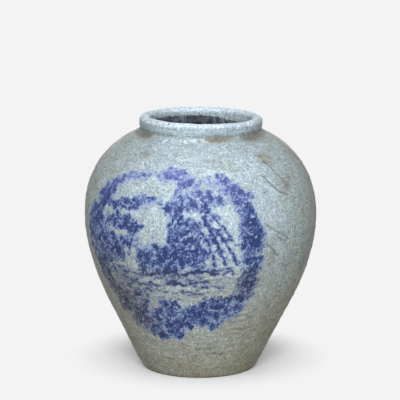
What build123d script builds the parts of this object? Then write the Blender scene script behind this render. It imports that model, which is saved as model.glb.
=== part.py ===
from build123d import *

import os
from math import acos, cos, degrees, radians, sin, sqrt, tan

# A wheel-thrown stoneware fermenting crock, and the pair of half-moon weight stones that it holds.
# Millimetres, +Z up. The origin is the middle of the foot, on the surface that the crock stands on.
# Outlines are drawn as radius and height, and turned about the Z axis.

# The crock's outline, from the crest of the lip down to the foot.
height = 330.0
lip_height = 16.0
lip_width = 13.4
lip_rounding = 6.2
throat_radius = 65.6
neck_undercut = 2.4
neck_rounding = 2.0
neck_slope = 38.0  # degrees below the horizontal, where the shoulder meets the neck
neck_reach = 27.0  # handle of the shoulder's curve at the neck
shoulder_fullness = 80.0  # handle above the belly's widest circle
belly_radius = 150.0
belly_drop = 130.0  # from the crest down to the belly's widest circle
belly_fullness = 57.0  # handle below the belly's widest circle
taper_length = 96.4  # handle of the lower wall's curve at the foot
taper_lean = 27.7  # degrees from the vertical, at the foot
foot_radius = 72.3
foot_rounding = 5.0
foot_ring_width = 16.0
foot_recess = 2.5
recess_rounding = 1.2

# The crock's inside.
wall = 9.5
floor_thickness = 12.0
cove_radius = 9.0
throat_edge_rounding = 6.0
wall_stations = 7  # points that carry the wall's thickness along each curve of the outline
selection_band = 0.01  # how near an edge lies to the height that it is looked up by

# The weight stones: two half discs that stand on the floor and leave straight up through the throat.
stone_thickness = 28.0
stone_rounding = 3.5
finger_hole_radius = 12.0
stone_split = 3.0  # gap between the two halves
floor_clearance = 1.0  # from the stones' rim to where the floor starts to curve up
throat_clearance = 6.0  # from the stones' rim to the throat, on the way out

# Worked out from the sizes above.
lip_radius = throat_radius + lip_width
lip_corner = min(lip_rounding, 0.48 * lip_width)
neck_radius = lip_radius - neck_undercut
neck_z = height - lip_height
belly_z = height - belly_drop
above_crest = height + lip_height
lean = radians(taper_lean)
slope = radians(neck_slope)

# The roll's underside is an arc that starts in the groove at the neck and ends upright.
underside_angle = degrees(acos(1 - neck_undercut / lip_corner))
underside_z = neck_z + sqrt(lip_corner**2 - (lip_corner - neck_undercut) ** 2)

# The outer wall: one curve from the foot to the belly, and one from the belly to the neck.
foot_point = Vector(foot_radius, 0)
belly_point = Vector(belly_radius, belly_z)
neck_point = Vector(neck_radius, neck_z)
with BuildLine() as lower_wall:
    Bezier(
        foot_point,
        foot_point + Vector(sin(lean), cos(lean)) * taper_length,
        belly_point - Vector(0, belly_fullness),
        belly_point,
    )
with BuildLine() as upper_wall:
    Bezier(
        belly_point,
        belly_point + Vector(0, shoulder_fullness),
        neck_point + Vector(cos(slope), -sin(slope)) * neck_reach,
        neck_point,
    )


def one_wall_inside(curve):
    """Points one wall thickness inside a curve that runs upwards."""
    points = []
    for station in range(wall_stations):
        share = station / (wall_stations - 1)
        along = curve.tangent_at(share)
        points.append(curve.position_at(share) + Vector(-along.Y, along.X) * wall)
    return points


inner_points = one_wall_inside(lower_wall.edge()) + one_wall_inside(upper_wall.edge())[1:]
inner_foot = inner_points[0]
inner_neck = inner_points[-1]
throat_foot_z = inner_neck.Y + (inner_neck.X - throat_radius) * tan(slope)

# The cavity: the room inside, from the floor up through the throat.
with BuildPart() as cavity:
    with BuildSketch(Plane.XZ):
        with BuildLine():
            Spline(*inner_points, tangents=[(sin(lean), cos(lean)), (-cos(slope), sin(slope))])
            Polyline(
                inner_neck,
                (throat_radius, throat_foot_z),
                (throat_radius, above_crest),
                (0, above_crest),
                (0, inner_foot.Y),
                inner_foot,
            )
        make_face()
    revolve(axis=Axis.Z)
    split(bisect_by=Plane.XY.offset(floor_thickness), keep=Keep.TOP)
    fillet(cavity.faces().sort_by(Axis.Z)[0].edges(), cove_radius)
    throat = cavity.faces().filter_by(GeomType.CYLINDER).sort_by(Axis.Z)[-1]
    fillet(throat.edges().filter_by(GeomType.CIRCLE).sort_by(Axis.Z)[0], throat_edge_rounding)
floor_radius = cavity.faces().sort_by(Axis.Z)[0].bounding_box().size.X / 2

# The crock: one piece of fired clay, with a rolled lip and a trimmed foot ring.
with BuildPart() as crock:
    with BuildSketch(Plane.XZ):
        with BuildLine():
            Line((0, 0), foot_point)
            add(lower_wall.edge())
            add(upper_wall.edge())
            CenterArc((lip_radius - lip_corner, underside_z), lip_corner, -underside_angle, underside_angle)
            Polyline((lip_radius, underside_z), (lip_radius, height), (0, height), (0, 0))
        make_face()
    revolve(axis=Axis.Z)
    add(cavity.part, mode=Mode.SUBTRACT)
    with BuildSketch():
        Circle(foot_radius - foot_ring_width)
    extrude(amount=foot_recess, mode=Mode.SUBTRACT)
    rings = crock.edges().filter_by(GeomType.CIRCLE)
    fillet(rings.group_by(Axis.Z)[-1], lip_corner)
    groove = rings.filter_by_position(Axis.Z, neck_z - selection_band, neck_z + selection_band)
    fillet(groove, neck_rounding)
    base_rings = crock.edges().filter_by(GeomType.CIRCLE).group_by(Axis.Z)[0].sort_by(SortBy.RADIUS)
    fillet(base_rings[-1], foot_rounding)
    fillet(base_rings[0], recess_rounding)
crock.part.label = "crock"

# A half stone has to stand on the flat of the floor and pass the throat.
stone_radius = min(floor_radius - floor_clearance, throat_radius - throat_clearance)


def half_stone(name, turn):
    """A half disc with half of the finger hole in its straight side, turned about Z from the +X side."""
    with BuildPart() as stone:
        with BuildSketch(Plane.XY.offset(floor_thickness)):
            with BuildLine():
                side = stone_split / 2
                tip = sqrt(stone_radius**2 - side**2)
                notch = sqrt(finger_hole_radius**2 - side**2)
                Line((side, -tip), (side, -notch))
                ThreePointArc((side, -notch), (finger_hole_radius, 0), (side, notch))
                Line((side, notch), (side, tip))
                ThreePointArc((side, tip), (stone_radius, 0), (side, -tip))
            make_face()
        extrude(amount=stone_thickness)
        fillet(stone.edges().filter_by(Axis.Z), stone_rounding)
        fillet(stone.faces().filter_by(Axis.Z).edges(), stone_rounding)
    part = stone.part.rotate(Axis.Z, turn)
    part.label = name
    return part


pieces = [crock.part, half_stone("weight_right", 0), half_stone("weight_left", 180)]

os.makedirs("parts", exist_ok=True)
for piece in pieces:
    export_step(piece, f"parts/{piece.label}.step")
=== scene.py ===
import math

import bpy
import numpy as np
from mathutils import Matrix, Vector


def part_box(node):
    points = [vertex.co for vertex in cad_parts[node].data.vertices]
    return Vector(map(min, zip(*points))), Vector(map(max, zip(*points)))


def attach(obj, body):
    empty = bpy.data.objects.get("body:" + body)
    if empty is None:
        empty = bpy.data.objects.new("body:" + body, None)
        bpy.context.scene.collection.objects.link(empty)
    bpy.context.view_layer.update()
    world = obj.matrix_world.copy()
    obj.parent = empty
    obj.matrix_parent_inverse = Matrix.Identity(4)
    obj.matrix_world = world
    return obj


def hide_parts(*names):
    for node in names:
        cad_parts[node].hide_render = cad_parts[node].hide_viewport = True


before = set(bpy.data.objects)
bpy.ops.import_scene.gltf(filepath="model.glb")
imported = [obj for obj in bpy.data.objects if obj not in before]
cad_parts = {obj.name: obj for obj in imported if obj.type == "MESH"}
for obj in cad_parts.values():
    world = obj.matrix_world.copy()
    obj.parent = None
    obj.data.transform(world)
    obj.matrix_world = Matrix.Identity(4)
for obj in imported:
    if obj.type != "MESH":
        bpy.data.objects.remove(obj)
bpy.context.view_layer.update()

# A stoneware crock with a mottled pale glaze and a blue painted wreath, and the two stones inside it.
# Metres, unless a comment says millimetres; the painting is done in millimetres throughout. The
# painted side faces -Y. "Across" on the wall is measured along the belly's widest circle, from the
# middle of the painting, and "level" is a height above the foot.
MM = 0.001
low_corner, high_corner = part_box("crock")
height = high_corner.z
belly_radius = (high_corner.x - low_corner.x) / 2
foot_z = low_corner.z

# ---------------------------------------------------------------------------------------- camera
view_side = math.radians(19.3)  # from the painting's middle towards +X
view_tilt = math.radians(10.87)  # down from level
view_distance = 2.976
sensor_width = 36.0
lens = 206.6
aim_height = 0.664 * height
aim_across = 0.4 * MM
view_right = Vector((math.cos(view_side), math.sin(view_side), 0))


def add_camera():
    """A long lens in front of the painted side, a little to the right and above."""
    towards = Vector((math.sin(view_side), -math.cos(view_side), 0)) * math.cos(view_tilt)
    towards.z = math.sin(view_tilt)
    data = bpy.data.cameras.new("camera")
    data.sensor_width = sensor_width
    data.lens = lens
    camera = bpy.data.objects.new("camera", data)
    bpy.context.scene.collection.objects.link(camera)
    camera.location = view_right * aim_across + Vector((0, 0, aim_height)) + towards * view_distance
    camera.rotation_euler = (-towards).to_track_quat("-Z", "Y").to_euler()
    bpy.context.scene.camera = camera


# ------------------------------------------------------------------------------- small helpers
def smooth_step(value, start, end):
    share = np.clip((value - start) / (end - start), 0, 1)
    return share * share * (3 - 2 * share)


def ripples(points, wavelength, seed, waves=28):
    """Uneven waves in every direction, about -1 to 1, with roughly that wavelength."""
    rng = np.random.default_rng(seed)
    directions = rng.normal(size=(waves, 3))
    directions /= np.linalg.norm(directions, axis=1)[:, None]
    lengths = wavelength * rng.uniform(0.7, 1.5, waves)
    total = np.zeros(len(points))
    for direction, length, phase in zip(directions, lengths, rng.uniform(0, 2 * math.pi, waves)):
        total += np.sin(points @ direction * (2 * math.pi / length) + phase)
    return total / math.sqrt(waves) * 0.8


def linear(red, green, blue):
    """A colour of 0 to 255 as the eye sees it, as Blender's linear colour."""
    shares = [channel / 255 for channel in (red, green, blue)]
    return [s / 12.92 if s <= 0.04045 else ((s + 0.055) / 1.055) ** 2.4 for s in shares] + [1]


# -------------------------------------------------------------------------- the crock's outline
def seam_outline(node):
    """The revolved CAD node's outline as (radius, height): from under the foot, up the outside,
    over the lip and down to the inner floor."""
    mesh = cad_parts[node].data
    beside = {}  # the neighbours of each point, in whole micrometres
    for edge in mesh.edges:
        ends = [mesh.vertices[i].co for i in edge.vertices]
        if any(abs(co.y) > 1e-5 or co.x < 0 for co in ends):
            continue
        first, second = [(round(co.x * 1e6), round(co.z * 1e6)) for co in ends]
        if first != second:
            beside.setdefault(first, []).append(second)
            beside.setdefault(second, []).append(first)
    here = min((key for key, others in beside.items() if len(set(others)) == 1), key=lambda key: key[1])
    path = [here]
    while True:
        onward = [key for key in beside[here] if key not in path[-2:]]
        if not onward:
            return np.array(path) * 1e-6
        here = onward[0]
        path.append(here)


def along_outline(outline, spacing):
    """Points on a smooth curve through the outline, spaced by spacing(height, inside)."""
    steps = np.linalg.norm(np.diff(outline, axis=0), axis=1)
    reach = np.concatenate([[0], np.cumsum(steps)])
    crest = reach[np.argmax(outline[:, 1])]
    slopes = np.diff(outline, axis=0) / steps[:, None]
    tangents = np.vstack([slopes[:1], (slopes[:-1] * steps[1:, None] + slopes[1:] * steps[:-1, None])
                          / (steps[1:] + steps[:-1])[:, None], slopes[-1:]])
    places = [0.0]
    while places[-1] < reach[-1]:
        level = np.interp(places[-1], reach, outline[:, 1])
        places.append(places[-1] + spacing(level, places[-1] > crest))
    places = np.array(places) * reach[-1] / places[-1]
    span = np.clip(np.searchsorted(reach, places, side="right") - 1, 0, len(steps) - 1)
    share = ((places - reach[span]) / steps[span])[:, None]
    length = steps[span][:, None]
    curve = ((2 * share**3 - 3 * share**2 + 1) * outline[span]
             + (share**3 - 2 * share**2 + share) * length * tangents[span]
             + (3 * share**2 - 2 * share**3) * outline[span + 1]
             + (share**3 - share**2) * length * tangents[span + 1])
    return curve, places > crest


# ------------------------------------------------------------------------------ the painting
# Masses of leaves: (across, height, half width, half height, strength), in millimetres.
LEAF_MASSES = [
    # the wreath, clockwise from the left
    (-121, 202, 13, 15, 1.0), (-110, 221, 13, 12, 1.0), (-98, 238, 13, 12, 1.0), (-88, 251, 14, 9, 1.0),
    (-77, 261, 11, 6, 0.85), (-64, 267, 9, 5, 0.75), (-49, 270, 10, 6, 0.75), (-34, 272, 9, 6, 0.7),
    (-22, 273, 6, 4, 0.6), (-3, 271, 9, 4, 0.75), (10, 276, 14, 6, 0.85), (24, 275, 10, 6, 0.85),
    (35, 268, 11, 8, 0.8), (47, 267, 8, 5, 0.65), (66, 267, 10, 5, 0.6), (80, 270, 11, 6, 0.75),
    (91, 264, 10, 7, 0.8), (84, 257, 9, 5, 0.6), (101, 252, 11, 9, 0.9), (104, 239, 10, 10, 0.95),
    (117, 246, 6, 8, 0.85), (112, 227, 10, 9, 1.0), (108, 215, 9, 9, 1.0), (121, 214, 8, 12, 1.0),
    (122, 200, 14, 9, 1.0), (108, 198, 10, 8, 0.9), (116, 186, 14, 9, 0.9), (128, 189, 8, 10, 0.9),
    (121, 172, 12, 10, 0.85), (110, 172, 9, 8, 0.75), (124, 156, 10, 10, 0.8), (111, 158, 8, 8, 0.6),
    (111, 140, 11, 10, 0.95), (125, 136, 8, 9, 0.9), (117, 124, 12, 9, 0.95), (103, 117, 12, 8, 0.95),
    (104, 104, 14, 8, 0.8), (92, 95, 12, 8, 0.65), (84, 112, 14, 9, 0.95), (68, 112, 12, 8, 0.9),
    (66, 98, 12, 8, 0.9), (50, 106, 12, 8, 0.9), (51, 89, 12, 9, 1.0), (36, 100, 12, 9, 0.95),
    (30, 86, 14, 9, 0.95), (72, 80, 11, 8, 0.8), (84, 88, 8, 6, 0.6), (2, 105, 16, 12, 1.0),
    (-11, 92, 12, 11, 0.95), (7, 78, 18, 10, 1.0), (2, 66, 22, 6, 1.0), (-22, 62, 16, 5, 1.0),
    (-36, 77, 16, 12, 0.9), (-52, 95, 16, 12, 0.8), (-62, 78, 14, 9, 0.75), (-42, 112, 14, 9, 0.7),
    (-66, 112, 14, 10, 0.7), (-84, 100, 14, 12, 0.85), (-93, 121, 15, 12, 0.9), (-102, 140, 14, 12, 0.9),
    (-112, 160, 14, 12, 0.9), (-122, 179, 12, 11, 0.9), (-99, 180, 14, 11, 0.95), (-86, 160, 13, 11, 0.85),
    (-104, 206, 12, 10, 0.8),
    (-68, 146, 13, 9, 0.55), (-77, 186, 16, 9, 0.9), (-66, 171, 14, 9, 0.85), (-96, 198, 12, 6, 0.6),
    # the boughs on the left, under the wreath
    (-82, 213, 14, 7, 1.0), (-60, 213, 15, 9, 1.0), (-46, 217, 9, 7, 0.9), (-67, 232, 13, 8, 1.0),
    (-49, 236, 15, 7, 1.0), (-34, 239, 8, 6, 0.9), (-24, 246, 12, 5, 0.9), (-8, 244, 10, 4, 0.85),
    (4, 238, 7, 6, 0.8),
    # the bushes in the middle
    (-41, 203, 8, 7, 0.95), (-51, 190, 10, 8, 0.85), (-30, 211, 6, 6, 0.9), (-34, 188, 6, 8, 0.5),
    (-27, 171, 10, 11, 0.95), (-8, 176, 14, 12, 0.95), (-14, 159, 19, 8, 0.9), (8, 168, 12, 15, 0.95),
    (-8, 198, 5, 9, 0.4), (24, 216, 14, 13, 0.75), (22, 192, 15, 17, 0.9), (40, 202, 11, 20, 0.85),
    (32, 171, 20, 14, 1.0), (50, 178, 8, 11, 0.75), (56, 162, 13, 5, 0.6), (8, 152, 16, 5, 0.7),
    # the tall tree's crown
    (23, 256, 6, 9, 0.9), (14, 234, 10, 9, 0.95), (30, 240, 13, 9, 0.85), (40, 252, 13, 6, 0.75),
    (56, 252, 12, 6, 0.75), (67, 246, 10, 6, 0.75), (80, 243, 9, 6, 0.7), (50, 236, 13, 7, 0.85),
    (62, 230, 9, 6, 0.75), (72, 224, 7, 4, 0.6),
    # the leaning bush on the right
    (58, 218, 8, 6, 0.75), (70, 208, 9, 6, 0.7), (60, 196, 8, 7, 0.7), (82, 196, 7, 5, 0.55),
    (74, 184, 7, 6, 0.65), (90, 182, 5, 6, 0.5), (60, 178, 7, 7, 0.55), (82, 170, 7, 5, 0.5),
    (96, 170, 5, 5, 0.45), (68, 166, 8, 5, 0.5),
]
# Thin washes under the leaves, in the same form.
HAZES = [
    (-112, 205, 22, 28, 0.65), (-92, 242, 22, 16, 0.45), (-60, 262, 26, 9, 0.25), (12, 272, 26, 9, 0.4),
    (84, 262, 24, 11, 0.4), (104, 238, 16, 18, 0.45), (118, 200, 20, 28, 0.55), (118, 160, 18, 22, 0.45),
    (114, 126, 20, 20, 0.5), (84, 106, 26, 14, 0.5), (44, 94, 32, 16, 0.55), (0, 82, 36, 26, 0.6),
    (-44, 88, 32, 28, 0.6), (-82, 108, 24, 24, 0.55), (-104, 146, 18, 30, 0.55), (-86, 180, 34, 26, 0.7),
    (-60, 213, 36, 11, 0.5), (-44, 236, 36, 9, 0.45), (-40, 192, 16, 16, 0.35), (-8, 172, 32, 20, 0.6),
    (30, 196, 28, 42, 0.6), (28, 244, 22, 12, 0.55), (58, 244, 24, 12, 0.45), (16, 150, 46, 8, 0.35),
    (30, 139, 44, 6, 0.3), (-34, 138, 26, 8, 0.25), (70, 188, 16, 26, 0.22), (-24, 122, 40, 8, 0.25),
    (-66, 142, 28, 16, 0.45), (-56, 126, 26, 12, 0.4), (56, 96, 34, 16, 0.5),
]
# Brush strokes: (half width, strength, points as across and height), in millimetres.
BRUSH_STROKES = [
    # the leaning bush's branches
    (1.2, 1.0, [(54, 224), (64, 206), (74, 188), (82, 164)]),
    (1.2, 1.0, [(62, 216), (76, 200), (88, 184), (97, 164)]),
    (1.1, 0.9, [(52, 208), (60, 192), (66, 174), (68, 158)]),
    (0.9, 0.7, [(66, 226), (80, 212), (90, 198)]),
    (0.9, 0.6, [(44, 198), (52, 184), (56, 166)]),
    (0.9, 0.6, [(76, 200), (90, 196), (100, 186)]),
    (1.3, 0.7, [(92, 160), (72, 158), (48, 157), (24, 150)]),
    # the bushes' stems on the left
    (1.1, 0.7, [(-32, 212), (-38, 198), (-44, 184), (-47, 170)]),
    (1.0, 0.6, [(-52, 190), (-56, 176), (-54, 160)]),
    # the ground under them
    (1.5, 0.8, [(30, 153), (48, 156), (66, 155), (76, 151)]),
    (1.2, 0.6, [(-44, 150), (-28, 147), (-10, 150)]),
    (1.6, 0.75, [(6, 140), (26, 137), (46, 142), (62, 141)]),
    (1.0, 0.5, [(44, 133), (64, 136), (82, 132)]),
    (1.3, 0.6, [(-52, 138), (-36, 134), (-20, 137), (-6, 134)]),
    (1.0, 0.5, [(-30, 126), (-12, 129), (6, 126)]),
    (1.0, 0.5, [(18, 127), (42, 124), (66, 127)]),
    (1.2, 0.5, [(80, 152), (90, 154), (98, 150)]),
]
STROKE_STEP = 1.6  # millimetres between two touches of a stroke
GROUND_STREAKS = 150  # touches that make the ground in the middle
CANVAS_LOW = np.array([-142.0, 50.0])  # millimetres across and up
CANVAS_HIGH = np.array([146.0, 292.0])
CANVAS_STEP = 0.5  # millimetres


def paint_dab(canvas, across, level, long_half, short_half, turn, strength):
    """One soft leaf-shaped touch of the brush."""
    middle = (np.array([across, level]) - CANVAS_LOW) / CANVAS_STEP
    reach = int(long_half / CANVAS_STEP) + 3
    low = np.maximum(np.round(middle).astype(int) - reach, 0)
    high = np.minimum(np.round(middle).astype(int) + reach, np.array(canvas.shape[::-1]))
    if (high <= low).any():
        return
    x = (np.arange(low[0], high[0]) - middle[0])[None, :] * CANVAS_STEP
    y = (np.arange(low[1], high[1]) - middle[1])[:, None] * CANVAS_STEP
    along = (x * math.cos(turn) + y * math.sin(turn)) / long_half
    beside = (-x * math.sin(turn) + y * math.cos(turn)) / short_half
    touch = strength * smooth_step(1.15 - np.sqrt(along**2 + beside**2), 0, 0.55)
    patch = canvas[low[1]:high[1], low[0]:high[0]]
    patch += (1 - patch) * touch


def paint_rosette(canvas, rng, across, level, strength):
    """A few leaves that fan out from one point."""
    first = rng.uniform(0, 2 * math.pi)
    for leaf in range(rng.integers(3, 6)):
        turn = first + leaf * 2 * math.pi / 5 + rng.normal(0, 0.35)
        long_half = rng.uniform(1.7, 3.2)
        reach = 1.1 * long_half
        paint_dab(canvas, across + reach * math.cos(turn), level + reach * math.sin(turn),
                  long_half, rng.uniform(0.9, 1.5), turn, strength * rng.uniform(0.45, 1.0))


def place_in_mass(rng, across, level, half_width, half_height, spread):
    """A random place in an ellipse or, if the spread is over 1, a little past it, and its direction."""
    out = math.sqrt(rng.uniform(0, spread))
    around = rng.uniform(0, 2 * math.pi)
    place = across + out * half_width * math.cos(around), level + out * half_height * math.sin(around)
    return place, around


def paint_leaf_mass(wash, ink, lifts, rng, across, level, half_width, half_height, strength):
    """Broad touches in the wash, small leaves in the ink, and touches where the clay shows through."""
    mass = (across, level, half_width, half_height)
    area = math.pi * half_width * half_height
    paint_dab(wash, across, level, 1.1 * half_width, 1.1 * half_height, 0, 0.4 * strength)
    for _ in range(int(area * strength / 12)):
        place, around = place_in_mass(rng, *mass, 1.1)
        paint_dab(wash, *place, rng.uniform(2.4, 4.6), rng.uniform(1.7, 3.0),
                  around + rng.normal(0, 0.8), (0.35 + 0.65 * strength) * rng.uniform(0.25, 0.8))
    for _ in range(int(area * strength / 34)):
        place, around = place_in_mass(rng, *mass, 1.1)
        paint_rosette(ink, rng, *place, (0.4 + 0.6 * strength) * rng.uniform(0.5, 1.0))
    for _ in range(int(area / 60)):
        place, around = place_in_mass(rng, *mass, 1.0)
        paint_dab(lifts, *place, rng.uniform(2.5, 5.5), rng.uniform(0.7, 1.1),
                  rng.uniform(0, math.pi), rng.uniform(0.5, 1.0))


def paint_stroke(wash, ink, rng, half_width, strength, points):
    """A line of small touches, with a paler edge on both sides."""
    points = np.array(points, float)
    for start, end in zip(points[:-1], points[1:]):
        run = np.linalg.norm(end - start)
        turn = math.atan2(end[1] - start[1], end[0] - start[0])
        for share in np.arange(0, 1, STROKE_STEP / run):
            place = start + (end - start) * share + rng.normal(0, 0.7, 2)
            paint_dab(ink, *place, 2.2, half_width * rng.uniform(0.6, 1.2), turn + rng.normal(0, 0.25),
                      strength * rng.uniform(0.3, 1.0))
            paint_dab(wash, *place, 3.2, half_width * rng.uniform(1.4, 2.8), turn,
                      0.5 * strength * rng.uniform(0.3, 1.0))


def paint_ground(wash, ink, rng):
    """Long, nearly level touches across the middle."""
    for _ in range(GROUND_STREAKS):
        across, level = rng.uniform(-66, 94), rng.uniform(117, 156)
        long_half, turn = rng.uniform(4, 9), rng.normal(0.1, 0.16)
        paint_dab(wash, across, level, long_half, rng.uniform(1.2, 2.6), turn, rng.uniform(0.12, 0.40))
        paint_dab(ink, across, level, 0.8 * long_half, rng.uniform(0.7, 1.2), turn, rng.uniform(0.15, 0.65))


def paint_canvases():
    """The painting in two layers: a thin wash of broad touches, and strong small leaves over it."""
    rng = np.random.default_rng(11)
    columns, rows = np.ceil((CANVAS_HIGH - CANVAS_LOW) / CANVAS_STEP).astype(int)
    wash, ink, lifts = np.zeros((3, rows, columns))
    for across, level, half_width, half_height, strength in HAZES:
        paint_dab(wash, across, level, half_width, half_height, 0, strength)
    for mass in LEAF_MASSES:
        paint_leaf_mass(wash, ink, lifts, rng, *mass)
    wash *= 1 - 0.6 * lifts
    ink *= 1 - 0.8 * lifts
    for stroke in BRUSH_STROKES:
        paint_stroke(wash, ink, rng, *stroke)
    paint_ground(wash, ink, rng)
    return wash, ink


def read_canvas(canvas, across, level):
    """The canvas where each point of the wall lies, with no colour outside it."""
    x = (across - CANVAS_LOW[0]) / CANVAS_STEP
    y = (level - CANVAS_LOW[1]) / CANVAS_STEP
    inside = (x >= 0) & (y >= 0) & (x < canvas.shape[1] - 1) & (y < canvas.shape[0] - 1)
    column = np.where(inside, x, 0).astype(int)
    row = np.where(inside, y, 0).astype(int)
    right, up = x - column, y - row
    value = ((canvas[row, column] * (1 - right) + canvas[row, column + 1] * right) * (1 - up)
             + (canvas[row + 1, column] * (1 - right) + canvas[row + 1, column + 1] * right) * up)
    return np.where(inside, value, 0)


# --------------------------------------------------------------------------- the crock's mesh
# Marks in the clay and the glaze: (half width, depth, tint, points as across and height), in
# millimetres. A depth below 0 stands out, and a mark with no depth is only colour: painted shade under the
# lip.
GROOVES = [
    # scratches on the right shoulder and under it
    (1.2, 0.8, 1.0, [(147, 269), (153, 262), (160, 255), (168, 249), (181, 244)]),
    (1.4, -0.4, 0.0, [(150, 271), (157, 263), (164, 257), (172, 252)]),
    (1.1, 0.6, 0.7, [(164, 283), (171, 273), (181, 262), (187, 253)]),
    (1.2, 0.8, 1.0, [(138, 187), (147, 180), (157, 170)]),
    (1.4, 0.6, 0.7, [(135, 213), (146, 206), (154, 201), (163, 197), (176, 189)]),
    (1.6, -0.5, 0.0, [(140, 216), (151, 210), (161, 203), (173, 195)]),
    (1.1, 0.5, 0.6, [(150, 198), (160, 192), (168, 183)]),
    (1.0, 0.4, 0.5, [(146, 176), (151, 168), (153, 158)]),
    # the seam where the upper half was joined to the lower one
    (2.4, 0.4, 0.2, [(138, 191), (180, 189), (240, 190), (330, 191), (440, 190)]),
    # painted shade in the groove under the lip, as colour with no depth
    (3.2, 0.0, 0.75, [(-240, 311), (-84, 311)]),
    (3.2, 0.0, 0.6, [(150, 311), (330, 311)]),
    (1.0, 0.0, 0.5, [(-471, 314), (471, 314)]),
    # tooling marks on the lower wall
    (1.1, 0.6, 0.8, [(40, 45), (62, 43), (82, 46)]),
    (1.0, 0.5, 0.6, [(66, 36), (84, 37), (98, 35)]),
    (1.0, 0.5, 0.5, [(-40, 30), (-22, 28), (-4, 29)]),
    (1.1, 0.5, 0.5, [(96, 92), (110, 90), (124, 92), (136, 87)]),
    (1.1, 0.4, 0.4, [(90, 84), (108, 82), (128, 84)]),
    (1.0, 0.4, 0.4, [(100, 70), (116, 72), (130, 69)]),
    # and on the plain sides
    (1.2, 0.6, 0.7, [(-210, 240), (-222, 226), (-240, 218)]),
    (1.2, 0.6, 0.7, [(300, 262), (318, 254), (340, 251)]),
    (1.2, 0.6, 0.7, [(-330, 150), (-345, 138), (-352, 122)]),
]
PITS = 90  # small open pits in the glaze
COLUMN_GAP = 1.62  # millimetres between columns of vertices on the painted side, at the belly
COLUMN_GAP_ADDED = 4.2  # and what the other sides add to it
LIP_TILT = math.radians(0.69)  # the lip dips to the viewer's right
# How far the hand-thrown axis wanders to the viewer's right at some heights, and how far the
# shoulder swells out, in millimetres.
LEAN_LEVELS, LEANS = [0, 45, 105, 155, 210, 250, 285, 322], [-0.3, -0.2, 1.2, 1.2, 1.4, 0.4, 0.1, 1.9]
SWELL_LEVELS, SWELLS = [150, 215, 259, 285, 298, 309, 313], [0.3, 0.4, 0.7, 1.7, 1.6, 0.4, 0.0]
LATE_LINING = math.radians(135)  # the side where the dark lining, with its painted shade inside the mouth, starts lower
CLOSING_SHARES = np.array([0.25, 0.5, 0.75])[:, None]  # rings of the discs that close the outline


def column_angles():
    """Angles from the painting's middle, close together where the wall is painted."""
    angles = [-math.pi]
    while angles[-1] < math.pi:
        side = math.degrees(angles[-1])
        gap = COLUMN_GAP + COLUMN_GAP_ADDED * (smooth_step(side, 74, 92) + smooth_step(-side, 60, 78))
        step = gap * MM / belly_radius
        angles.append(angles[-1] + step)
    angles = np.array(angles[:-1])
    return (angles + math.pi) * 2 * math.pi / (angles[-1] + math.pi + step) - math.pi


def row_spacing(level, inside):
    """The gap between rings of vertices: small outside and on the lip, and wide deep inside."""
    if inside:
        return (9 if level < height - 30 * MM else 2) * MM
    if level > height - 40 * MM:
        return 1.7 * MM
    return (1.6 if level > 55 * MM else 2.6) * MM


def grid_mesh(name, rings, columns, vertices):
    """A closed surface from rings of vertices, with a middle vertex at each end."""
    ring, column = np.meshgrid(np.arange(rings - 1), np.arange(columns), indexing="ij")
    onward = (column + 1) % columns
    quads = np.stack([ring * columns + column, ring * columns + onward,
                      (ring + 1) * columns + onward, (ring + 1) * columns + column], -1).reshape(-1, 4)
    first, last = rings * columns, rings * columns + 1
    top = (rings - 1) * columns
    fans = [(first, (i + 1) % columns, i) for i in range(columns)]
    fans += [(last, top + i, top + (i + 1) % columns) for i in range(columns)]
    mesh = bpy.data.meshes.new(name)
    mesh.from_pydata(vertices.tolist(), [], quads.tolist() + fans)
    mesh.shade_smooth()
    return mesh


def closed_outline():
    """The crock's outline, with flat discs that close it under the foot and on the floor, and which
    of its points lie inside the crock."""
    curve, inside = along_outline(seam_outline("crock"), row_spacing)
    rings = len(CLOSING_SHARES)
    under = np.hstack([curve[:1, :1] * CLOSING_SHARES, np.full((rings, 1), curve[0, 1])])
    floor = np.hstack([curve[-1:, :1] * CLOSING_SHARES[::-1], np.full((rings, 1), curve[-1, 1])])
    inside = np.concatenate([np.zeros(rings, bool), inside, np.ones(rings, bool)])
    return np.vstack([under, curve, floor]), inside


def thrown_shape(curve, radius, angle, level, relief):
    """The crock's vertices: the turned wall with its relief, its wandering axis and its tilted lip."""
    columns = len(radius) // len(curve)
    run = np.gradient(curve, axis=0)
    run /= np.linalg.norm(run, axis=1)[:, None]
    radius = radius + relief * np.repeat(run[:, 1], columns)
    level_out = level + relief * np.repeat(-run[:, 0], columns)
    x, y = radius * np.sin(angle), -radius * np.cos(angle)
    right = x * view_right.x + y * view_right.y
    level_out = level_out - np.tan(LIP_TILT) * right * smooth_step(level, 0.90 * height, 0.965 * height)
    shift = np.interp(level / MM, LEAN_LEVELS, LEANS) * MM
    x, y = x + shift * view_right.x, y + shift * view_right.y
    ends = np.array([[0, 0, curve[0, 1]], [0, 0, curve[-1, 1]]])
    return np.vstack([np.stack([x, y, np.maximum(level_out, foot_z)], 1), ends])


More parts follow.
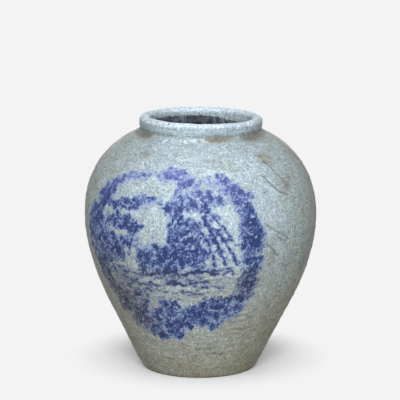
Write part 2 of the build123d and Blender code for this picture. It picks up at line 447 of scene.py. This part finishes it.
def crock_marks(flat, across, angle, level, is_inside):
    """What the glaze's material reads at each point, by name."""
    drift = 1.3 * ripples(flat, 9 * MM, 31), 1.3 * ripples(flat, 9 * MM, 32)
    wash, ink = [read_canvas(canvas, across + drift[0], level / MM + drift[1]) * ~is_inside
                 for canvas in paint_canvases()]
    # the lining mask also places a painted shade inside the mouth, lower on one side
    late = 5 * MM * smooth_step(np.cos(angle - LATE_LINING), 0.5, 0.95)
    lining_and_mouth_shade = np.where(is_inside, smooth_step(height - level - late, 6 * MM, 13 * MM), 0)
    # the lip's pale crest, partly thick glaze and partly a painted highlight, which shows most at the front
    # and the back; its fading towards the two ends between them is painted shade
    crest = smooth_step(level, height - 6 * MM, height - 2 * MM)
    crest *= 0.35 + 0.65 * np.abs(np.cos(angle - view_side))
    # a broken pale line where the glaze crawled away from under the lip
    crawl = 1 - smooth_step(line_distance(across, level / MM, (-36, 308), (66, 310)), 0.8, 2.6)
    crawl *= smooth_step(ripples(flat, 7 * MM, 41), -0.1, 0.4) * ~is_inside
    return {
        "wash": wash,
        "ink": ink,
        "lining_and_mouth_shade": lining_and_mouth_shade,
        "bare": np.where(is_inside, 0, 1 - smooth_step(level, 0.8 * MM, 3.0 * MM)),
        "crest": np.maximum(crest, crawl),
        "stain_and_lip_shade": stain_and_lip_shade_marks(across, level / MM, is_inside),
        "groove_dirt_and_lip_shade": groove_marks(across, level / MM)[1] * ~is_inside,
    }


def crock_piece():
    curve, inside = closed_outline()
    angles = column_angles()
    radius, angle = [grid.ravel() for grid in np.meshgrid(curve[:, 0], angles, indexing="ij")]
    level = np.repeat(curve[:, 1], len(angles))
    is_inside = np.repeat(inside, len(angles))
    across = angle * belly_radius / MM
    flat = np.stack([radius * np.sin(angle), -radius * np.cos(angle), level], 1)
    # the foot and the inner floor stay flat
    calm = smooth_step(level, foot_z + 0.5 * MM, foot_z + 6 * MM)
    calm = np.where(is_inside, smooth_step(level, 14 * MM, 24 * MM), calm)
    relief = surface_relief(flat, across, level / MM, is_inside) * calm
    vertices = thrown_shape(curve, radius, angle, level, relief)
    mesh = grid_mesh("crock_body", len(curve), len(angles), vertices)
    for name, values in crock_marks(flat, across, angle, level, is_inside).items():
        attribute = mesh.attributes.new(name, "FLOAT", "POINT")
        attribute.data.foreach_set("value", np.concatenate([values, values[[0, -1]]]).astype(np.float32))
    piece = bpy.data.objects.new("crock_body", mesh)
    bpy.context.scene.collection.objects.link(piece)
    return piece


def line_distance(across, level, start, end):
    """How far each point lies from a straight line between two points."""
    start, end = np.array(start, float), np.array(end, float)
    way = end - start
    share = np.clip(((across - start[0]) * way[0] + (level - start[1]) * way[1]) / (way @ way), 0, 1)
    return np.hypot(across - start[0] - share * way[0], level - start[1] - share * way[1])


def groove_marks(across, level):
    """How deep the grooves are at each point, in millimetres, and how dark."""
    depths = np.zeros(len(across))
    tints = np.zeros(len(across))
    for half_width, depth, tint, points in GROOVES:
        away = np.min([line_distance(across, level, start, end)
                       for start, end in zip(points[:-1], points[1:])], axis=0)
        mark = 1 - smooth_step(away, 0.3 * half_width, 1.7 * half_width)
        depths += depth * mark
        tints = np.maximum(tints, tint * mark)
    return depths, tints


def surface_relief(points, across, level, is_inside):
    """Lumps, throwing rings, scratches and pits, in metres outward from the turned wall. The
    distance across and the level are in millimetres."""
    lumps = 0.55 * ripples(points, 85 * MM, 3) + 0.16 * ripples(points, 30 * MM, 4)
    skin = 0.12 * ripples(points, 12 * MM, 5) + 0.06 * ripples(points, 5.5 * MM, 6)
    wobble = 3 * ripples(points, 120 * MM, 7)
    rings = (0.10 * np.sin((level + wobble) * 2 * math.pi / 13)
             + 0.07 * np.sin((level - wobble) * 2 * math.pi / 7.7))
    relief = lumps + skin + rings + np.interp(level, SWELL_LEVELS, SWELLS) * ~is_inside
    relief -= groove_marks(across, level)[0] * ~is_inside
    rng = np.random.default_rng(21)
    for _ in range(PITS):
        place = (rng.uniform(-460, 460), rng.uniform(8, 285))
        size = rng.uniform(1.6, 3.4)
        away = np.hypot(across - place[0], level - place[1])
        relief -= rng.uniform(0.25, 0.7) * (1 - smooth_step(away, 0.2 * size, size)) * ~is_inside
    return relief * MM


# Brown stains: (across, height, half width, half height, strength), in millimetres. Some along the lip are
# painted shade under it.
STAINS_AND_LIP_SHADE = [
    (92, 312, 66, 6, 1.1), (84, 313, 36, 3, 0.8), (20, 313, 18, 3, 0.6), (-40, 313, 26, 4, 0.6),
    # the first four below are painted shade under the lip, at its sides and back, coloured like the stains
    (-110, 311, 66, 9, 0.9), (190, 311, 66, 9, 0.9), (300, 312, 60, 5, 0.6), (-300, 312, 90, 4, 0.6),
    (-50, 292, 20, 8, 0.75), (-20, 290, 12, 7, 0.6), (168, 286, 30, 12, 0.75), (186, 262, 30, 16, 0.7),
    (200, 238, 24, 18, 0.5), (36, 60, 22, 8, 0.45), (-320, 270, 60, 20, 0.5), (420, 240, 50, 26, 0.5),
    (-200, 120, 40, 26, 0.45), (300, 150, 60, 30, 0.45),
]


def stain_and_lip_shade_marks(across, level, is_inside):
    """How brown each point is, from the stains and from the painted shade under the lip."""
    marks = np.zeros(len(across))
    for middle, rise, half_width, half_height, strength in STAINS_AND_LIP_SHADE:
        away = np.hypot((across - middle) / half_width, (level - rise) / half_height)
        marks = np.maximum(marks, strength * (1 - smooth_step(away, 0.2, 1.5)))
    return marks * ~is_inside


# -------------------------------------------------------------------------- the weight stones
STONE_VOXEL = 1.3 * MM
STONE_PITS = 46  # on each stone


def evenly_meshed(node):
    """The CAD stone with a mesh of small even faces."""
    piece = bpy.data.objects.new(node + "_body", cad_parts[node].data.copy())
    bpy.context.scene.collection.objects.link(piece)
    remesh = piece.modifiers.new("even_mesh", "REMESH")
    remesh.mode = "VOXEL"
    remesh.voxel_size = STONE_VOXEL
    remesh.use_smooth_shade = True
    bpy.context.view_layer.update()
    mesh = bpy.data.meshes.new_from_object(piece.evaluated_get(bpy.context.evaluated_depsgraph_get()))
    piece.modifiers.clear()
    piece.data = mesh
    mesh.name = node + "_body"
    return piece


def stone_piece(node, seed):
    """The CAD stone as a fired-clay piece: its faces a little uneven, its arrises worn, with open pits."""
    piece = evenly_meshed(node)
    mesh = piece.data
    count = len(mesh.vertices)
    places, normals = np.empty(count * 3), np.empty(count * 3)
    mesh.vertices.foreach_get("co", places)
    mesh.vertices.foreach_get("normal", normals)
    places, normals = places.reshape(-1, 3), normals.reshape(-1, 3)
    low, high = places.min(0), places.max(0)

    rng = np.random.default_rng(seed)
    sink = 0.10 * (1 + ripples(places, 26 * MM, seed)) + 0.05 * (1 + ripples(places, 5 * MM, seed + 1))
    pit = np.zeros(count)
    for place in places[rng.integers(0, count, STONE_PITS)]:
        size = rng.uniform(0.8, 2.6) * MM
        pit = np.maximum(pit, 1 - smooth_step(np.linalg.norm(places - place, axis=1), 0.3 * size, size))
    # an arris is where the surface turns away from straight up, down or sideways
    flat = np.max(np.abs(np.stack([normals[:, 2], np.hypot(normals[:, 0], normals[:, 1])])), axis=0)
    worn = smooth_step(1 - flat, 0.04, 0.22) * smooth_step(ripples(places, 20 * MM, seed + 2), -0.9, 0.5)
    sink += 0.5 * pit + 0.25 * worn
    places = np.clip(places - normals * sink[:, None] * MM, low, high)
    mesh.vertices.foreach_set("co", places.ravel())
    for name, values in {"pit": pit, "worn": worn}.items():
        mesh.attributes.new(name, "FLOAT", "POINT").data.foreach_set("value", values.astype(np.float32))
    mesh.update()
    return piece


# -------------------------------------------------------------------------------- materials
# Textures lie in metres: a scale is a number of features to the metre, and a span over the level
# lies between two heights.
class Nodes:
    """A few short ways to build the node tree of a material or of the world."""

    def __init__(self, owner, output_kind):
        self.owner = owner
        owner.use_nodes = True
        self.tree = owner.node_tree
        self.tree.nodes.clear()
        self.output = self.add(output_kind)
        self.coords = self.add("ShaderNodeTexCoord").outputs["Object"]

    def add(self, kind, **inputs):
        node = self.tree.nodes.new(kind)
        for key, value in inputs.items():
            self.put(node.inputs[key.replace("_", " ")], value)
        return node

    def put(self, socket, value):
        if isinstance(value, bpy.types.NodeSocket):
            self.tree.links.new(value, socket)
        else:
            socket.default_value = value

    def axis(self, name):
        return self.add("ShaderNodeSeparateXYZ", Vector=self.coords).outputs[name]

    def attribute(self, name):
        node = self.add("ShaderNodeAttribute")
        node.attribute_name = name
        return node.outputs["Fac"]

    def against(self, operation, vector):
        """The node that sets the coordinates against one fixed vector."""
        node = self.add("ShaderNodeVectorMath")
        node.operation = operation
        self.put(node.inputs[0], self.coords)
        self.put(node.inputs[1], vector)
        return node

    def stretched(self, sideways, upward):
        """The coordinates with one direction shortened, for a texture that runs along it."""
        return self.against("MULTIPLY", (sideways, sideways, upward)).outputs["Vector"]

    def noise(self, scale, detail=2.0, roughness=0.5, distortion=0.0, coords=None):
        node = self.add("ShaderNodeTexNoise", Vector=coords or self.coords, Scale=scale, Detail=detail,
                        Roughness=roughness, Distortion=distortion)
        return node.outputs["Fac"]

    def cells(self, scale, feature="F1", coords=None):
        node = self.add("ShaderNodeTexVoronoi", Vector=coords or self.coords, Scale=scale)
        node.feature = feature
        return node

    def drawn(self, cells):
        """A random number of each cell's own, from 0 to 1."""
        return self.add("ShaderNodeSeparateColor", Color=cells.outputs["Color"]).outputs[0]

    def math(self, kind, first, second=0.0, third=0.0):
        node = self.add("ShaderNodeMath")
        node.operation = kind
        for socket, value in zip(node.inputs, (first, second, third)):
            self.put(socket, value)
        return node.outputs[0]

    def span(self, value, low, high, start=0.0, end=1.0, smooth=True):
        """From start to end while the value goes from low to high."""
        node = self.add("ShaderNodeMapRange")
        node.interpolation_type = "SMOOTHSTEP" if smooth else "LINEAR"
        for socket, number in zip(node.inputs, (value, low, high, start, end)):
            self.put(socket, number)
        return node.outputs[0]

    def blend(self, share, first, second, kind="MIX"):
        node = self.add("ShaderNodeMix")
        node.data_type = "RGBA"
        node.blend_type = kind
        self.put(node.inputs[0], share)
        self.put(node.inputs[6], first)
        self.put(node.inputs[7], second)
        return node.outputs[2]

    def grey(self, value):
        node = self.add("ShaderNodeCombineColor")
        for socket in node.inputs[:3]:
            self.put(socket, value)
        return node.outputs[0]

    def bump(self, height_value, distance, strength):
        node = self.add("ShaderNodeBump", Height=height_value, Distance=distance, Strength=strength)
        return node.outputs[0]

    def mix(self, share, first, second):
        """A shader between two shaders."""
        node = self.add("ShaderNodeMixShader", Fac=share)
        self.put(node.inputs[1], first)
        self.put(node.inputs[2], second)
        return node.outputs[0]

    def finish(self, shader):
        self.put(self.output.inputs["Surface"], shader)
        return self.owner


def material_nodes(name):
    return Nodes(bpy.data.materials.new(name), "ShaderNodeOutputMaterial")


LAMP_SIDE_OF_GLAZE = (0.36, -0.93, 0.55)  # towards the side where the glaze lies thick and the key lamp stands: the paler colour there is partly painted light
# Steps of the cobalt: (pigment where a step starts, where it is full, its usual colour, its colour
# high up, and its greyed colour).
COBALT_STEPS = [
    (0.15, 0.38, linear(144, 163, 199), linear(158, 174, 210), linear(132, 136, 140)),
    (0.42, 0.62, linear(82, 103, 156), linear(112, 128, 186), linear(90, 94, 106)),
    (0.68, 0.98, linear(46, 59, 110), linear(78, 92, 152), linear(56, 58, 72)),
]


def glaze_colour(n):
    """Pale blue where the glaze lies thick, partly painted light on the key lamp's side; olive where it
    runs thin and on the far sides, partly painted shade; brown in the stains and in painted shade under the
    lip; a painted shade on the lip's face and a painted highlight on its crest.
    """
    thick_lit_glaze = linear(184, 203, 214)
    plain = linear(164, 174, 172)
    thin = linear(176, 183, 180)
    olive_shaded_glaze = linear(156, 156, 139)
    stain_and_lip_shade = linear(137, 131, 111)
    # the lip colour is a painted shade on the lip's upright face, and the crest colour is pale glaze with a
    # painted highlight
    lip_face_shade_colour = linear(158, 176, 186)
    crest = linear(222, 241, 255)
    level = n.axis("Z")
    blotches = n.math("SUBTRACT", n.noise(13, 4, 0.6), 0.5)
    # paler towards the key lamp's side and higher up: partly thick glaze, partly painted light
    facing = n.against("DOT_PRODUCT", LAMP_SIDE_OF_GLAZE).outputs["Value"]
    facing = n.math("MULTIPLY_ADD", blotches, 0.10, facing)
    facing = n.math("ADD", facing, n.span(level, 0.312, 0.322, 0.0, 0.12))
    glaze = n.blend(n.span(facing, 0.15, 0.27), plain, thick_lit_glaze)
    glaze = n.blend(n.span(n.math("MULTIPLY_ADD", blotches, 0.12, level), 0.19, 0.05), glaze, thin)
    # olive on the sides and back, away from the key lamp: partly glaze colour, partly painted shade
    patchy = n.span(n.noise(9, 3, 0.6), 0.36, 0.62, 0.45, 1.0)
    glaze = n.blend(n.math("MULTIPLY", n.span(facing, 0.19, 0.04), patchy), glaze, olive_shaded_glaze)
    warm = n.blend(n.span(n.noise(34, 4, 0.65), 0.46, 0.70), linear(255, 255, 255), linear(246, 242, 234))
    glaze = n.blend(1.0, glaze, warm, "MULTIPLY")
    uneven = n.math("SUBTRACT", n.noise(85, 4, 0.7), 0.5)
    # brown: the stains, and a painted shade under the lip at its sides and back
    stained = n.span(n.math("MULTIPLY_ADD", uneven, 1.7, n.attribute("stain_and_lip_shade")), 0.25, 1.25)
    glaze = n.blend(n.math("MULTIPLY", stained, 0.9), glaze, stain_and_lip_shade)
    # a painted shade on the lip's upright face
    lip_face_shade = n.math("MULTIPLY", n.span(level, 0.311, 0.315), n.span(level, 0.328, 0.322))
    glaze = n.blend(n.math("MULTIPLY", lip_face_shade, 0.5), glaze, lip_face_shade_colour)
    return n.blend(n.attribute("crest"), glaze, crest)


def crackle_lines(n, patches):
    """1 along the fine cracks of the glaze, which show in patches."""
    shaken = n.add("ShaderNodeMix")
    shaken.data_type = "VECTOR"
    n.put(shaken.inputs[0], 0.004)
    n.put(shaken.inputs[4], n.coords)
    n.put(shaken.inputs[5], n.add("ShaderNodeTexNoise", Vector=n.coords, Scale=60.0).outputs["Color"])
    net = n.cells(105, "DISTANCE_TO_EDGE", coords=shaken.outputs[1]).outputs["Distance"]
    return n.math("MULTIPLY", n.span(net, 0.05, 0.0), n.span(patches, 0.40, 0.62))


def glaze_tone(n, mottle, grit, crackle):
    """How light the glaze's grain is: runs, fine weave, light grit, dark hollows and cracks."""
    run = n.noise(120, 3, 0.6, coords=n.stretched(1.0, 0.22))
    upright = n.noise(420, 2, 0.6, coords=n.stretched(1.0, 0.2))
    level_weave = n.noise(420, 2, 0.6, coords=n.stretched(0.22, 1.0))
    speckle = n.noise(760, 1, 0.5)
    tone = n.span(run, 0.30, 0.70, 0.90, 1.09, smooth=False)
    for texture, dark, light in [(upright, 0.86, 1.13), (level_weave, 0.86, 1.13), (mottle, 0.88, 1.11),
                                 (grit, 0.66, 1.28), (speckle, 0.72, 1.24)]:
        tone = n.math("MULTIPLY", tone, n.span(texture, 0.30, 0.70, dark, light, smooth=False))
    return n.math("MULTIPLY", tone, n.span(crackle, 0.0, 1.0, 1.0, 0.80, smooth=False))


def cobalt_painting(n, glaze, grit):
    """Cobalt under the glaze, from a pale lavender wash to a deep blue."""
    level = n.axis("Z")
    pigment = n.math("MULTIPLY", n.attribute("ink"), 0.66)
    pigment = n.math("MULTIPLY_ADD", n.attribute("wash"), 0.70, pigment)
    gate = n.span(pigment, 0.03, 0.30)
    # the grain and small leaves break it up
    broken = n.math("MULTIPLY", n.math("SUBTRACT", grit, 0.5), 1.1)
    broken = n.math("ADD", n.math("SUBTRACT", n.noise(300, 2, 0.6, 0.5), 0.5), broken)
    pigment = n.math("ADD", pigment, broken)
    leaves = n.cells(290)
    leaf = n.math("SUBTRACT", n.drawn(leaves), 0.48)
    leaf = n.math("MULTIPLY", leaf, n.span(leaves.outputs["Distance"], 0.65, 0.30))
    pigment = n.math("MULTIPLY_ADD", leaf, 0.45, pigment)
    # it is paler high up, and greyer low on the left and on the ground
    faint = n.span(level, 0.225, 0.275)
    smoky = n.math("MULTIPLY", n.span(n.axis("X"), 0.01, -0.06), n.span(level, 0.20, 0.12))
    ground = n.math("MULTIPLY", n.span(level, 0.165, 0.150), n.span(level, 0.110, 0.122))
    greyed = n.math("MAXIMUM", n.math("MULTIPLY", smoky, 0.9), n.math("MULTIPLY", ground, 0.5))
    colour = glaze
    for start, full, usual, high_up, grey in COBALT_STEPS:
        tint = n.blend(greyed, n.blend(faint, usual, high_up), grey)
        share = n.math("MULTIPLY", n.span(pigment, start, full), gate)
        colour = n.blend(n.math("MULTIPLY", share, 0.95), colour, tint)
    return colour


def specks_and_scratches(n, colour):
    """Dark specks, most of them on the lip, dirt in the grooves, and painted shade in the groove under the
    lip.
    """
    spots = n.cells(95)
    on_lip = n.span(n.axis("Z"), 0.300, 0.312, 0.0, 0.32)
    chosen = n.span(n.math("ADD", n.drawn(spots), on_lip), 0.80, 0.84)
    speck = n.math("MULTIPLY", n.span(spots.outputs["Distance"], 0.15, 0.06), chosen)
    colour = n.blend(n.math("MULTIPLY", speck, 0.8), colour, linear(44, 42, 42))
    # the grooves' tint: dirt in the scratches, and painted shade in the groove under the lip
    return n.blend(n.math("MULTIPLY", n.attribute("groove_dirt_and_lip_shade"), 0.72), colour, linear(82, 82, 72))


def lining_with_mouth_shade(n, colour):
    """The mouth's dark, ragged lining: near the top a painted shade inside the mouth, turning to a brown
    lining further down.
    """
    streak = n.math("SUBTRACT", n.noise(260, 3, 0.7, coords=n.stretched(1.0, 0.25)), 0.5)
    lining_and_mouth_shade = n.span(n.math("MULTIPLY_ADD", streak, 1.4, n.attribute("lining_and_mouth_shade")), 0.25, 0.75)
    # the dark grey near the top is a painted shade inside the mouth; further down the lining is brown
    dark = n.blend(n.span(n.noise(90, 4, 0.7), 0.35, 0.7), linear(52, 55, 64), linear(122, 129, 142))
    dark = n.blend(n.span(n.axis("Z"), 0.275, 0.225), dark, linear(138, 130, 116))
    return n.blend(lining_and_mouth_shade, colour, dark)


def glaze_material():
    n = material_nodes("glazed_stoneware")
    patches = n.noise(60, 4, 0.62, 0.4)
    mottle = n.noise(170, 3, 0.6)
    grit = n.noise(450, 2, 0.6)
    crackle = crackle_lines(n, patches)
    tone = glaze_tone(n, mottle, grit, crackle)
    colour = n.blend(1.0, glaze_colour(n), n.grey(tone), "MULTIPLY")
    colour = cobalt_painting(n, colour, grit)
    colour = specks_and_scratches(n, colour)
    colour = lining_with_mouth_shade(n, colour)
    # the foot is bare clay
    bare = n.attribute("bare")
    clay = n.blend(n.noise(140, 4, 0.7), linear(168, 140, 108), linear(126, 98, 74))
    colour = n.blend(bare, colour, clay)
    rough = n.span(patches, 0.3, 0.7, 0.50, 0.74, smooth=False)
    rough = n.math("ADD", rough, n.math("MULTIPLY", bare, 0.25))
    relief = n.math("ADD", n.math("MULTIPLY", mottle, 0.8), n.math("MULTIPLY", grit, 0.8))
    relief = n.math("SUBTRACT", relief, n.math("MULTIPLY", crackle, 0.25))
    shader = n.add("ShaderNodeBsdfPrincipled", Base_Color=colour, Roughness=rough,
                   Normal=n.bump(relief, 0.0008, 0.7), Specular_IOR_Level=0.2)
    return n.finish(shader.outputs[0])


def clay_material():
    n = material_nodes("bare_stoneware")
    blotches = n.noise(28, 3, 0.6)
    patches = n.noise(75, 4, 0.6)
    grit = n.noise(520, 3, 0.6)
    clay = n.blend(n.span(blotches, 0.36, 0.64), linear(186, 176, 158), linear(164, 154, 138))
    clay = n.blend(n.math("MULTIPLY", n.span(patches, 0.52, 0.74), 0.6), clay, linear(140, 122, 100))
    clay = n.blend(1.0, clay, n.grey(n.span(grit, 0.30, 0.70, 0.80, 1.16, smooth=False)), "MULTIPLY")
    grains = n.cells(330)
    dark = n.math("MULTIPLY", n.span(n.drawn(grains), 0.84, 0.88),
                  n.span(grains.outputs["Distance"], 0.34, 0.16))
    clay = n.blend(n.math("MULTIPLY", dark, 0.65), clay, linear(84, 68, 54))
    clay = n.blend(n.math("MULTIPLY", n.attribute("worn"), 0.5), clay, linear(206, 198, 184))
    clay = n.blend(n.math("MULTIPLY", n.attribute("pit"), 0.6), clay, linear(112, 98, 82))
    relief = n.math("MULTIPLY_ADD", patches, 0.6, grit)
    rough = n.span(patches, 0.3, 0.7, 0.74, 0.9)
    shader = n.add("ShaderNodeBsdfPrincipled", Base_Color=clay, Roughness=rough,
                   Normal=n.bump(relief, 0.0005, 0.6), Specular_IOR_Level=0.3)
    return n.finish(shader.outputs[0])


# -------------------------------------------------------------------------- floor and light
BACKDROP = linear(243, 243, 243)
FLOOR_HALF = 8.0
SHADOW_MIDDLE = (-0.013, 0.038, 0)  # the shadow shows beside and behind the foot


def seen_directly(n):
    """1 for what the camera sees, straight or by a reflection or through glass."""
    path = n.add("ShaderNodeLightPath")
    seen = n.math("MAXIMUM", path.outputs["Is Camera Ray"], path.outputs["Is Glossy Ray"])
    return n.math("MAXIMUM", seen, path.outputs["Is Transmission Ray"])


def floor_material():
    """The backdrop's plain colour, apart from a pale floor that takes the shadow round the foot."""
    n = material_nodes("studio_floor")
    away = n.against("DISTANCE", SHADOW_MIDDLE).outputs["Value"]
    near = n.add("ShaderNodeAddShader")
    n.put(near.inputs[0], n.add("ShaderNodeBsdfDiffuse", Color=linear(236, 238, 243)).outputs[0])
    n.put(near.inputs[1], n.add("ShaderNodeEmission", Color=BACKDROP, Strength=0.12).outputs[0])
    plain = n.add("ShaderNodeEmission", Color=BACKDROP, Strength=1.0).outputs[0]
    shown = n.mix(n.span(away, 0.085, 0.185), near.outputs[0], plain)
    bounce = n.add("ShaderNodeBsdfDiffuse", Color=linear(174, 173, 170)).outputs[0]
    return n.finish(n.mix(seen_directly(n), bounce, shown))


def add_floor():
    mesh = bpy.data.meshes.new("floor")
    corners = [(x * FLOOR_HALF, y * FLOOR_HALF, 0) for x, y in ((-1, -1), (1, -1), (1, 1), (-1, 1))]
    mesh.from_pydata(corners, [], [(0, 1, 2, 3)])
    mesh.materials.append(floor_material())
    floor = bpy.data.objects.new("floor", mesh)
    bpy.context.scene.collection.objects.link(floor)


def add_world():
    """The backdrop's colour for the camera, and a dim, slightly warm fill for the light."""
    world = bpy.data.worlds.new("studio")
    bpy.context.scene.world = world
    n = Nodes(world, "ShaderNodeOutputWorld")
    fill = n.add("ShaderNodeBackground", Color=linear(214, 210, 200), Strength=0.29).outputs[0]
    shown = n.add("ShaderNodeBackground", Color=BACKDROP).outputs[0]
    n.finish(n.mix(seen_directly(n), fill, shown))


def add_lamp(name, side, rise, distance, size, power):
    """A square, soft, white lamp that faces the crock's middle. Its side is an angle from the
    painting's middle, and its rise an angle above level, in degrees."""
    data = bpy.data.lights.new(name, "AREA")
    data.size = size
    data.energy = power
    lamp = bpy.data.objects.new(name, data)
    lamp.visible_camera = False
    bpy.context.scene.collection.objects.link(lamp)
    side, rise = math.radians(side), math.radians(rise)
    towards = Vector((math.sin(side) * math.cos(rise), -math.cos(side) * math.cos(rise), math.sin(rise)))
    lamp.location = Vector((0, 0, 0.5 * height)) + towards * distance
    lamp.rotation_euler = (-towards).to_track_quat("-Z", "Y").to_euler()


# ------------------------------------------------------------------------------------ the scene
add_camera()
crock = crock_piece()
crock.data.materials.append(glaze_material())
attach(crock, "crock")
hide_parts("crock")

clay = clay_material()
for seed, stone in enumerate(("weight_left", "weight_right"), start=50):
    piece = stone_piece(stone, seed)
    piece.data.materials.clear()
    piece.data.materials.append(clay)
    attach(piece, stone)
    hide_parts(stone)

add_floor()
add_world()
add_lamp("key", side=18, rise=25, distance=2.4, size=1.0, power=46.5)
add_lamp("top", side=18, rise=64, distance=2.2, size=1.6, power=10)
add_lamp("back_fill", side=200, rise=16, distance=2.6, size=1.6, power=23)
bpy.context.scene.view_settings.view_transform = "Standard"

bpy.context.view_layer.update()
